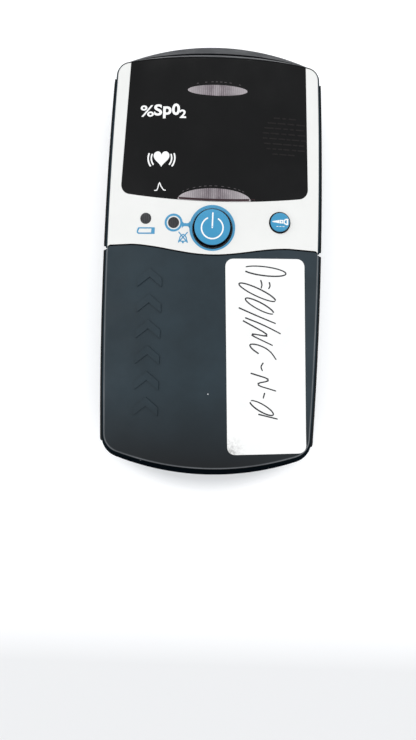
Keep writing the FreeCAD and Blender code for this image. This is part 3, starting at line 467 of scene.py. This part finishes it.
def paper_material(name):
    """Coated paper label with a rubbed, greyish lower left corner and faint handling marks."""
    clean, grubby = (0.80, 0.80, 0.785), (0.30, 0.295, 0.285)
    material, nodes, links, shader = new_material(name, clean, 0.5)
    slow = noise_factor(nodes, links, 120.0, 6.0)
    slow = ramp(nodes, links, slow, [(0.30, (0.765, 0.765, 0.75)), (0.6, clean)])
    corner = product(nodes, links, along_axis(nodes, links, "X", 0.0125, 0.0075),
                     along_axis(nodes, links, "Y", -0.0545, -0.0605))
    streaks = ramp(nodes, links, noise_factor(nodes, links, 900.0, 6.0, 0.7), [(0.40, clean), (0.62, grubby)])
    links.new(mix_rgba(nodes, links, corner, slow, streaks), shader.inputs["Base Color"])
    vary_roughness(nodes, links, shader, 0.42, 0.6, 200.0)
    add_bump(nodes, links, shader, noise_factor(nodes, links, 3000.0), 0.12, 0.00003)
    return material


# ---- drawing on the case --------------------------------------------------------------------
def height_over(*names):
    """A function that gives the top surface's height over the named CAD nodes, all in mm."""
    trees = []
    for name in names:
        mesh = bmesh.new()
        mesh.from_mesh(NODES[name].data)
        trees.append(BVHTree.FromBMesh(mesh))
        mesh.free()

    def height(x, y):
        best = 0.0
        for tree in trees:
            hit = tree.ray_cast(Vector((x * MM, y * MM, 0.06)), Vector((0, 0, -1)))
            if hit[0] is not None:
                best = max(best, hit[0].z / MM)
        return best

    return height


def circle(centre, radius, count=48, start=0.0, end=2 * math.pi):
    """Points round a circle, or along an arc that keeps both ends."""
    whole = abs(end - start - 2 * math.pi) < 1e-6
    steps = count if whole else count - 1
    return [(centre[0] + radius * math.cos(start + (end - start) * i / steps),
             centre[1] + radius * math.sin(start + (end - start) * i / steps)) for i in range(count)]


def smooth_path(points, rounds=2):
    """Cut the corners of an open path and keep its ends."""
    path = [Vector(p) for p in points]
    for _ in range(rounds):
        cut = [path[0]]
        for p, q in zip(path, path[1:]):
            cut += [p.lerp(q, 0.25), p.lerp(q, 0.75)]
        path = cut + [path[-1]]
    return path


def stroke(points, width, taper=0.0):
    """Flat strip along a path, with round ends; taper thins it towards its end."""
    path = [Vector(p) for p in points]
    mesh = bmesh.new()
    rows = []
    last = len(path) - 1
    for i, p in enumerate(path):
        before, after = path[max(i - 1, 0)], path[min(i + 1, last)]
        along = (after - before).normalized()
        bend = 1.0
        if 0 < i < last:
            turn = (p - before).normalized().dot((after - p).normalized())
            bend = 1 / max(math.sqrt((1 + turn) / 2), 0.6)
        half = width / 2 * (1 - taper * i / last) * bend
        side = Vector((-along.y, along.x)) * half
        rows.append((p + side, p - side))
    for end, inner, order in ((0, 1, -1), (last, last - 1, 1)):
        p, q = path[end], path[inner]
        half = (rows[end][0] - rows[end][1]).length / 2
        angle = math.atan2(p.y - q.y, p.x - q.x)
        for t in (35, 65):
            reach, spread = math.radians(t), half * math.cos(math.radians(t))
            tip = p + Vector((math.cos(angle), math.sin(angle))) * half * math.sin(reach)
            side = Vector((-math.sin(angle), math.cos(angle))) * spread * order
            pair = (tip + side, tip - side)
            rows = [pair] + rows if order < 0 else rows + [pair]
    made = [[mesh.verts.new((v.x, v.y, 0)) for v in row] for row in rows]
    for (a, b), (c, d) in zip(made, made[1:]):
        mesh.faces.new((a, b, d, c))
    face_up(mesh)
    return mesh


def face_up(mesh):
    mesh.normal_update()
    for face in mesh.faces:
        if face.normal.z < 0:
            face.normal_flip()


def rounded_box(centre, width, height, radius, count=6):
    points = []
    for sx, sy, start in ((1, -1, -90), (1, 1, 0), (-1, 1, 90), (-1, -1, 180)):
        corner = (centre[0] + sx * (width / 2 - radius), centre[1] + sy * (height / 2 - radius))
        points += circle(corner, radius, count, math.radians(start), math.radians(start + 90))
    return points


def fill(loops):
    """Flat bmesh of closed loops, where a loop inside another is a hole."""
    curve = bpy.data.curves.new("outline", "CURVE")
    curve.dimensions = "2D"
    curve.fill_mode = "BOTH"
    for loop in loops:
        spline = curve.splines.new("POLY")
        spline.points.add(len(loop) - 1)
        for point, (x, y) in zip(spline.points, loop):
            point.co = (x, y, 0, 1)
        spline.use_cyclic_u = True
    return flat_bmesh(curve)


def glyph(character, x0, x1, y0, y1, weight=0.02):
    """One character of the plain built-in face, fitted to a box."""
    curve = bpy.data.curves.new("glyph", "FONT")
    curve.body = character
    curve.size = 1.0
    curve.offset = weight
    curve.fill_mode = "BOTH"
    mesh = flat_bmesh(curve)
    xs = [v.co.x for v in mesh.verts]
    ys = [v.co.y for v in mesh.verts]
    for v in mesh.verts:
        v.co.x = x0 + (v.co.x - min(xs)) / (max(xs) - min(xs)) * (x1 - x0)
        v.co.y = y0 + (v.co.y - min(ys)) / (max(ys) - min(ys)) * (y1 - y0)
    return mesh


def flat_bmesh(curve):
    holder = bpy.data.objects.new("holder", curve)
    bpy.context.scene.collection.objects.link(holder)
    bpy.context.view_layer.update()
    data = bpy.data.meshes.new_from_object(holder.evaluated_get(bpy.context.evaluated_depsgraph_get()))
    bpy.data.objects.remove(holder)
    bpy.data.curves.remove(curve)
    mesh = bmesh.new()
    mesh.from_mesh(data)
    bpy.data.meshes.remove(data)
    bmesh.ops.remove_doubles(mesh, verts=mesh.verts, dist=1e-5)
    face_up(mesh)
    return mesh


def cut_grid(mesh, step):
    """Split faces along a square grid, so that the sheet can follow a curved surface."""
    for axis in (0, 1):
        values = [v.co[axis] for v in mesh.verts]
        k = math.floor(min(values) / step) + 1
        while k * step < max(values):
            place, normal = Vector((0, 0, 0)), Vector((0, 0, 0))
            place[axis], normal[axis] = k * step, 1
            geometry = mesh.verts[:] + mesh.edges[:] + mesh.faces[:]
            bmesh.ops.bisect_plane(mesh, geom=geometry, plane_co=place, plane_no=normal, dist=1e-6)
            k += 1


def laid_sheet(name, parts, height, material, body, lift=0.02, thick=0.03, step=1.5):
    """Thin closed sheets laid on a surface, joined into one piece that rides on a body."""
    joined = bmesh.new()
    for part in parts:
        cut_grid(part, step)
        bmesh.ops.solidify(part, geom=part.faces[:], thickness=-thick)
        low = min(v.co.z for v in part.verts)
        for v in part.verts:
            v.co.z += height(v.co.x, v.co.y) + lift - low
            v.co *= MM
        data = bpy.data.meshes.new("part")
        part.to_mesh(data)
        part.free()
        joined.from_mesh(data)
        bpy.data.meshes.remove(data)
    bmesh.ops.recalc_face_normals(joined, faces=joined.faces)
    return finish_piece(name, joined, material, body)


def finish_piece(name, mesh, material, body, smooth=False):
    data = bpy.data.meshes.new(name)
    mesh.to_mesh(data)
    mesh.free()
    data.materials.append(material)
    for polygon in data.polygons:
        polygon.use_smooth = smooth
    piece = bpy.data.objects.new(name, data)
    bpy.context.scene.collection.objects.link(piece)
    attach(piece, body)
    return piece


# ---- printed symbols ------------------------------------------------------------------------
def moved(points, centre, scale=1.0):
    return [(centre[0] + x * scale, centre[1] + y * scale) for x, y in points]


def saturation_label(centre=(-16.2, 42.45)):
    """The unit label of the upper readout."""
    x, y = centre
    return [
        glyph("%", x - 6.95, x - 2.85, y - 1.65, y + 1.8, 0.012),
        glyph("S", x - 2.8, x - 0.35, y - 1.35, y + 2.05, 0.03),
        glyph("p", x - 0.05, x + 2.5, y - 2.2, y + 1.4, 0.03),
        glyph("0", x + 2.65, x + 5.05, y - 1.2, y + 2.25, 0.035),
        glyph("2", x + 5.0, x + 6.95, y - 2.1, y + 0.45, 0.03),
    ]


def heart_symbol(centre=(-16.3, 27.9)):
    """A heart between pairs of beat marks."""
    outline = []
    for i in range(64):
        t = 2 * math.pi * i / 64
        x = 16 * math.sin(t) ** 3
        y = 13 * math.cos(t) - 5 * math.cos(2 * t) - 2 * math.cos(3 * t) - math.cos(4 * t)
        outline.append((x * 2.4 / 16, (y + 2.5) * 2.4 / 14.5))
    parts = [fill([moved(outline, centre)])]
    for side in (-1, 1):
        for radius, span in ((3.1, 29), (4.05, 27)):
            middle = 180 if side < 0 else 0
            tilt = 8 * side * (-1)
            start = math.radians(middle - span + tilt)
            end = math.radians(middle + span + tilt)
            hub = (centre[0], centre[1] + 0.35)
            parts.append(stroke(circle(hub, radius, 12, start, end), 0.46))
    return parts


def pulse_symbol(centre=(-16.45, 19.65)):
    """A single pulse wave."""
    wave = [(-1.7, -1.25), (-1.05, -1.2), (-0.75, -0.55), (-0.45, 0.8), (-0.2, 1.25), (0.05, 0.75),
            (0.3, 0.1), (0.8, -0.55), (1.15, -1.05), (1.75, -1.15)]
    return [stroke(moved(wave, centre, 0.94), 0.3)]


def battery_symbol(centre=(-20.4, 6.35)):
    outer = [(2.75, 1.0), (2.75, -1.0), (-2.3, -1.0), (-2.62, -0.75), (-2.75, -0.45), (-2.7, 0.2),
             (-2.4, 0.85), (-2.2, 1.0)]
    inner = [(1.75, 0.62), (1.65, -0.58), (-2.1, -0.6), (-2.35, -0.35), (-2.0, 0.5), (-1.9, 0.62)]
    return [fill([moved(outer, centre), moved(inner, centre)])]


def silenced_bell(centre=(-9.0, 4.4)):
    parts = []
    lines = [
        [(-1.3, 1.6), (1.35, -1.45)],
        [(1.25, 1.55), (-1.35, -1.45)],
        [(-1.3, -1.1), (-1.05, -0.7), (-0.95, 0.0), (-0.6, 0.65), (0.0, 0.95), (0.6, 0.65), (0.95, 0.0),
         (1.05, -0.7), (1.3, -1.1)],
        [(-1.0, -1.05), (0.0, -1.15), (1.0, -1.05)],
    ]
    for points in lines:
        parts.append(stroke(moved(points, centre), 0.32))
    parts.append(fill([circle((centre[0], centre[1] - 1.5), 0.28, 16)]))
    return parts


def ring(centre, radii):
    return fill([circle(centre, radii[1], 96), circle(centre, radii[0], 96)])


def link_bar():
    """Bar that joins the silence lamp's ring to the power ring, flared at both ends."""
    x0 = SILENCE_LAMP_AT[0] + SILENCE_RING_R[1] - 0.12
    x1 = POWER_AT[0] - POWER_RING_R[1] + 0.12
    y = (SILENCE_LAMP_AT[1] + POWER_AT[1]) / 2 + 0.1
    top, low = [], []
    steps = 14
    for i in range(steps + 1):
        t = i / steps
        half = 0.45 + 0.75 * (2 * t - 1) ** 4
        x = x0 + (x1 - x0) * t
        top.append((x, y + half))
        low.append((x, y - half))
    return fill([top + low[::-1]])


def power_symbol():
    hub = (POWER_AT[0], POWER_AT[1] - 0.32)
    bow = circle(hub, 3.22, 40, math.radians(118), math.radians(417))
    bar = [(hub[0] + 0.05, hub[1] + 4.45), (hub[0], hub[1])]
    return [stroke(bow, 0.42), stroke(bar, 0.42)]


def torch_symbol():
    """A torch lying on its side, on the second key."""
    at = (BACKUP_AT[0] + 0.15, BACKUP_AT[1] + 0.1)
    beam = [(-2.3, 0.0), (-2.1, 0.12), (-0.35, 0.42), (-0.35, -0.42), (-2.1, -0.12)]
    neck = [(-0.25, 0.46), (0.75, 0.46), (0.75, -0.46), (-0.25, -0.46)]
    neck_hole = [(0.25, 0.24), (0.5, 0.0), (0.25, -0.24), (0.0, 0.0)]
    head = [(0.85, 0.5), (1.5, 0.85), (2.05, 0.85), (2.05, -0.85), (1.5, -0.85), (0.85, -0.5)]
    head_hole = [(1.1, 0.3), (1.5, 0.5), (1.65, 0.5), (1.65, -0.5), (1.5, -0.5), (1.1, -0.3)]
    grow = 1.12
    parts = [fill([moved(beam, at, grow)]), fill([moved(neck, at, grow), moved(neck_hole, at, grow)]),
             fill([moved(head, at, grow), moved(head_hole, at, grow)])]
    for x in (-0.9, 0.0, 0.9):
        parts.append(stroke([(at[0] + x - 0.25, at[1] - 1.45), (at[0] + x + 0.25, at[1] - 1.45)], 0.16))
    return parts


def painted_reflection_arc(centre, half, rise, angles):
    """Painted reflections: short dashes along part of an ellipse round a lens; the angles are in degrees."""
    parts = []
    for angle in angles:
        ends = [math.radians(angle + turn) for turn in (-1.7, 0.0, 1.7)]
        dash = [(centre[0] + half * math.cos(t), centre[1] + rise * math.sin(t)) for t in ends]
        parts.append(stroke(dash, 0.16))
    return parts


def ghost_rows(centre=(20.3, 36.0), radius=6.2):
    """Faint rows of short bars in a round patch on the window."""
    parts = []
    rows = 8
    for i in range(rows):
        dy = radius * (2 * (i + 0.5) / rows - 1)
        reach = math.sqrt(radius ** 2 - dy ** 2)
        x = -reach
        while x < reach:
            width = random.uniform(0.8, 2.6)
            y = centre[1] + dy
            parts.append(stroke([(centre[0] + x, y), (centre[0] + x + width, y)], 0.45))
            x += width + random.uniform(0.6, 1.2)
    return parts


def add_prints():
    face = height_over("fascia_plate")
    glass = height_over("display_window")
    white = print_material("white_ink", (0.84, 0.84, 0.83))
    blue = print_material("blue_ink", (0.06, 0.27, 0.46))
    faint = print_material("painted_reflection_ink", (0.07, 0.06, 0.065))
    laid_sheet("window_symbols", saturation_label() + heart_symbol() + pulse_symbol(), glass, white, "case")
    # Painted reflections: faint dashes on the window round the two lenses.
    dashes = painted_reflection_arc(ALARM_LENS_AT, 9.4, 2.4, (45, 66, 76, 84, 92, 100, 112, 130))
    dashes += painted_reflection_arc(PULSE_LENS_AT, 11.6, 4.25, (42, 50, 58, 68, 78, 88, 96, 104, 112, 122, 134, 144))
    laid_sheet("window_painted_reflections", dashes, glass, faint, "case")
    lens_edge = [(x, 15.95 + x * x / PLATE_EDGE_BOW) for x in range(-11, 13)]
    red = print_material("edge_ink", (0.022, 0.004, 0.007))
    laid_sheet("window_lower_line", [stroke(lens_edge, 0.6)], height_over("display_window", "pulse_lens"),
               red, "case")
    ghost = print_material("ghost_ink", (0.010, 0.0085, 0.0085), 0.2, 0.18)
    laid_sheet("window_ghost_rows", ghost_rows(), glass, ghost, "case")
    marks = battery_symbol() + silenced_bell() + [link_bar()]
    # Painted shadow: a dark crescent at the power key's socket, thickest on its lower side; the blue ring's
    # inner edge follows it.
    painted_shadow_at, painted_shadow_r = (POWER_AT[0] + 0.06, POWER_AT[1] - 0.22), POWER_RING_R[0] + 0.25
    marks += [fill([circle(POWER_AT, POWER_RING_R[1], 96), circle(painted_shadow_at, painted_shadow_r, 96)])]
    marks += [ring(SILENCE_LAMP_AT, SILENCE_RING_R)]
    painted_shadow_black = print_material("painted_shadow_ink", (0.004, 0.004, 0.005))
    shade = fill([circle(painted_shadow_at, painted_shadow_r, 96), circle(POWER_AT, POWER_RING_R[0], 96)])
    laid_sheet("power_painted_shadow", [shade], face, painted_shadow_black, "case")
    laid_sheet("plate_symbols", marks, face, blue, "case")
    power_top = height_over("power_cap")
    backup_top = height_over("backup_cap")
    under_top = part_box("power_cap")[1].z / MM - 0.052

    def flat_topped(x, y):
        return min(power_top(x, y), under_top)

    laid_sheet("power_symbol", power_symbol(), flat_topped, white, "power_button", step=1.0)
    laid_sheet("backup_symbol", torch_symbol(), backup_top, white, "backup_button", step=0.8)


# ---- sticker --------------------------------------------------------------------------------
def on_sticker(points):
    """From the sticker's own axes to the row frame."""
    c, s = math.cos(STICKER_TURN), math.sin(STICKER_TURN)
    return [(STICKER_AT[0] + x * c - y * s, STICKER_AT[1] + x * s + y * c) for x, y in points]


def sticker_height(cover):
    """Cover height plus a lifted lower right corner."""
    c, s = math.cos(STICKER_TURN), math.sin(STICKER_TURN)

    def height(x, y):
        dx, dy = x - STICKER_AT[0], y - STICKER_AT[1]
        u, v = dx * c + dy * s, -dx * s + dy * c
        corner = (u - STICKER_SIZE[0] / 2) - (v + STICKER_SIZE[1] / 2)
        lift = max(0.0, corner + 7.0) ** 2 * 0.011
        return cover(min(x, 29.3), y) + lift

    return height


def long_loop(start, end, fat, opening=0.35):
    """Narrow loop of the pen between two points, not quite closed."""
    a, b = Vector(start), Vector(end)
    middle, reach = (a + b) / 2, (b - a) / 2
    side = Vector((-reach.y, reach.x)).normalized() * fat
    steps = 26
    points = []
    for i in range(steps + 1):
        t = opening + (2 * math.pi - 2 * opening) * i / steps
        points.append(tuple(middle + reach * math.cos(t) + side * math.sin(t)))
    return points


def scribble():
    """Loose slanting pen marks down the sticker: loops, dashes and zigzags that spell nothing."""
    runs = [
        long_loop((6.3, 25.0), (-6.8, 26.5), 1.35, 0.55),
        long_loop((-8.0, 22.0), (3.0, 16.8), 1.15, 0.2),
        long_loop((-6.1, 17.5), (2.4, 13.0), 1.05, 0.3),
        long_loop((2.0, -17.6), (-5.0, -13.4), 1.1),
    ]
    bends = [
        [(-1.4, 22.9), (-1.0, 21.7), (-1.3, 20.7)],
        [(1.2, 22.3), (1.45, 21.3), (1.0, 20.5)],
        [(-8.0, 14.7), (-2.0, 12.0), (2.9, 10.0)],
        [(-6.1, 11.7), (-1.0, 9.7), (4.4, 6.9)],
        [(-6.8, 10.8), (2.6, 5.6), (-6.4, 7.4), (1.9, 3.4)],
        [(-2.4, 1.0), (-4.4, 2.4), (-5.2, 3.9), (-2.2, 3.6), (1.2, 1.8), (3.0, -0.9)],
        [(-1.0, -2.0), (-1.7, -3.1), (-1.2, -4.2)],
        [(-4.6, -5.0), (2.2, -7.2), (-4.2, -8.2), (2.8, -10.4)],
        [(-0.6, -11.1), (-1.0, -12.5)],
        [(-2.4, -17.4), (3.2, -18.9)],
    ]
    runs += [smooth_path(points) for points in bends]
    return [stroke(on_sticker(points), 0.46, 0.2) for points in runs]


def add_sticker():
    cover = height_over("battery_cover")
    height = sticker_height(cover)
    outline = on_sticker(rounded_box((0, 0), *STICKER_SIZE, STICKER_CORNER_R, 8))
    sheet = laid_sheet("sticker_sheet", [fill([outline])], height, paper_material("label_paper"),
                       "battery_cover_body", lift=0.03, thick=0.12, step=1.2)
    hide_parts("asset_sticker")
    ink = print_material("pen_ink", (0.02, 0.02, 0.024), 0.5)
    laid_sheet("sticker_pen_marks", scribble(), height, ink, "battery_cover_body",
               lift=0.155, thick=0.01, step=1.2)


# ---- carried-over CAD nodes -----------------------------------------------------------------
def give(material, *names):
    for name in names:
        data = NODES[name].data
        data.materials.clear()
        data.materials.append(material)


def dress_nodes():
    slate = (0.0135, 0.0245, 0.032)
    # Colour of the painted highlight along the rounded edges of the case and cover.
    rubbed = (0.17, 0.18, 0.19)
    case = with_painted_edge_highlight(with_dust(moulded("case_slate", slate, 0.5)), rubbed, 0.8, 0.62, 0.978)
    case = with_dull_sides(case, 0.08)
    # The hood's darker colour is painted shade and the paler one a painted highlight.
    give(with_painted_hood_light(case, (0.006, 0.008, 0.012), (0.05, 0.055, 0.06)), "front_shell")
    # Painted shade darkens the cover towards its lower end.
    cover = with_painted_end_shade(moulded("cover_slate", slate, 0.5), -0.064, -0.042, (0.002, 0.0035, 0.005))
    cover = with_painted_edge_highlight(with_dust(cover), rubbed, 1.0, 0.62, 0.978)
    give(with_dull_sides(cover, 0.24), "battery_cover")
    give(moulded("rear_slate", (0.013, 0.023, 0.030), 0.5), "rear_shell")
    give(moulded("grip_rubber", (0.014, 0.0155, 0.017), 0.75, 3600.0, 0.4, sheen_level=0.08),
         "upper_side_grips", "cover_side_grips")
    give(moulded("plate_white", (0.70, 0.70, 0.68), 0.36, 4200.0, 0.06, 0.015), "fascia_plate")
    give(window_material(), "display_window")
    # The pipes' last colour is painted glints at their ends.
    give(light_pipe_material("pipe_frost", (0.27, 0.23, 0.25), (0.09, 0.072, 0.083), (0.46, 0.43, 0.44)),
         "alarm_lens", "pulse_lens")
    give(light_pipe_material("lamp_smoke", (0.03, 0.03, 0.033), (0.006, 0.006, 0.007)), "low_battery_lens",
         "alarm_silence_lens")
    give(key_material("power_blue", (0.045, 0.26, 0.45), (0.004, 0.005, 0.008), 0.03153), "power_cap")
    give(key_material("backup_blue", (0.045, 0.26, 0.45), (0.005, 0.007, 0.014), 0.0296), "backup_cap")
    give(moulded("switch_black", (0.02, 0.02, 0.02), 0.5), "power_switch", "backup_switch", "sounder")
    give(moulded("plunger_natural", (0.7, 0.68, 0.62), 0.45), "power_plunger", "backup_plunger")
    give(board_material("solder_mask"), "main_board", "display_board")
    give(moulded("digit_grey", (0.05, 0.05, 0.052), 0.4), "spo2_digit_display", "pulse_digit_display")
    give(moulded("led_epoxy", (0.72, 0.68, 0.64), 0.2, Coat_Weight=0.5), "alarm_led_bar", "pulse_led_bar",
         "indicator_leds")
    give(moulded("chip_black", (0.016, 0.016, 0.017), 0.45), "processor_chip", "analog_chip", "board_header",
         "connector_body")
    give(metal("can_aluminium", (0.75, 0.75, 0.77), 0.3), "board_capacitors")
    give(metal("nickel_plate", (0.66, 0.65, 0.62), 0.28), "connector_shell", "battery_springs",
         "battery_contact_plates")
    give(metal("gold_plate", (0.83, 0.62, 0.25), 0.25), "connector_contacts")
    give(metal("zinc_screw", (0.52, 0.52, 0.54), 0.35), "case_screws", "main_board_screws",
         "display_board_screws")
    give(moulded("chassis_grey", (0.03, 0.032, 0.036), 0.5), "battery_chassis")
    give(moulded("label_silver", (0.50, 0.51, 0.52), 0.42, 2000.0, 0.1, 0.04), "rear_label")
    for i in range(4):
        low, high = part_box("battery_cell_" + str(i + 1))
        flip = i % 2 == 1
        band = low.y + 0.014 if flip else high.y - 0.014
        give(jacket_material("cell_jacket_" + str(i + 1), band - 0.0001, band + 0.0001, flip),
             "battery_cell_" + str(i + 1))


def window_material():
    """Smoked window: deep gloss with faint handling haze."""
    smoke = (0.0035, 0.0035, 0.0036)
    material, nodes, links, shader = new_material("window_smoke", smoke, 0.12, sheen_level=0.18)
    speckle(nodes, links, shader, (0.003, 0.003, 0.0031), (0.004, 0.004, 0.0041), 60.0)
    vary_roughness(nodes, links, shader, 0.09, 0.2, 90.0)
    add_bump(nodes, links, shader, noise_factor(nodes, links, 35.0), 0.02, 0.0002)
    return material


def smooth_nodes():
    """Shade the curved CAD faces smoothly and keep their real edges sharp."""
    for node in NODES.values():
        node.data.shade_smooth()
        node.data.set_sharp_from_angle(angle=math.radians(24))


# ---- digits behind the window ---------------------------------------------------------------
def digit_segments(name, node):
    """Seven-segment bars on a digit module's face."""
    low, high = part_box(node)
    top = high.z / MM
    middle_y = (low.y + high.y) / 2 / MM
    parts = []
    tall, wide, bar = 4.1, 5.6, 0.9
    for digit in range(3):
        cx = low.x / MM + 5.6 + digit * 11.2
        for sy in (-1, 0, 1):
            y = middle_y + sy * tall
            parts.append(stroke([(cx - wide / 2 + 0.9, y), (cx + wide / 2 - 0.9, y)], bar))
        for sx in (-1, 1):
            for sy in (-1, 1):
                x = cx + sx * wide / 2
                y0, y1 = middle_y + sy * 0.75, middle_y + sy * (tall - 0.75)
                parts.append(stroke([(x, y0), (x, y1)], bar))
    material = print_material("segment_" + name, (0.45, 0.40, 0.38), 0.3)
    laid_sheet(name, parts, lambda x, y: top, material, "case",
               lift=0.01, thick=0.05, step=20)


# ---- run ------------------------------------------------------------------------------------
add_camera()
add_lights()
add_floor()
smooth_nodes()
dress_nodes()
add_prints()
add_sticker()
digit_segments("spo2_segments", "spo2_digit_display")
digit_segments("pulse_segments", "pulse_digit_display")
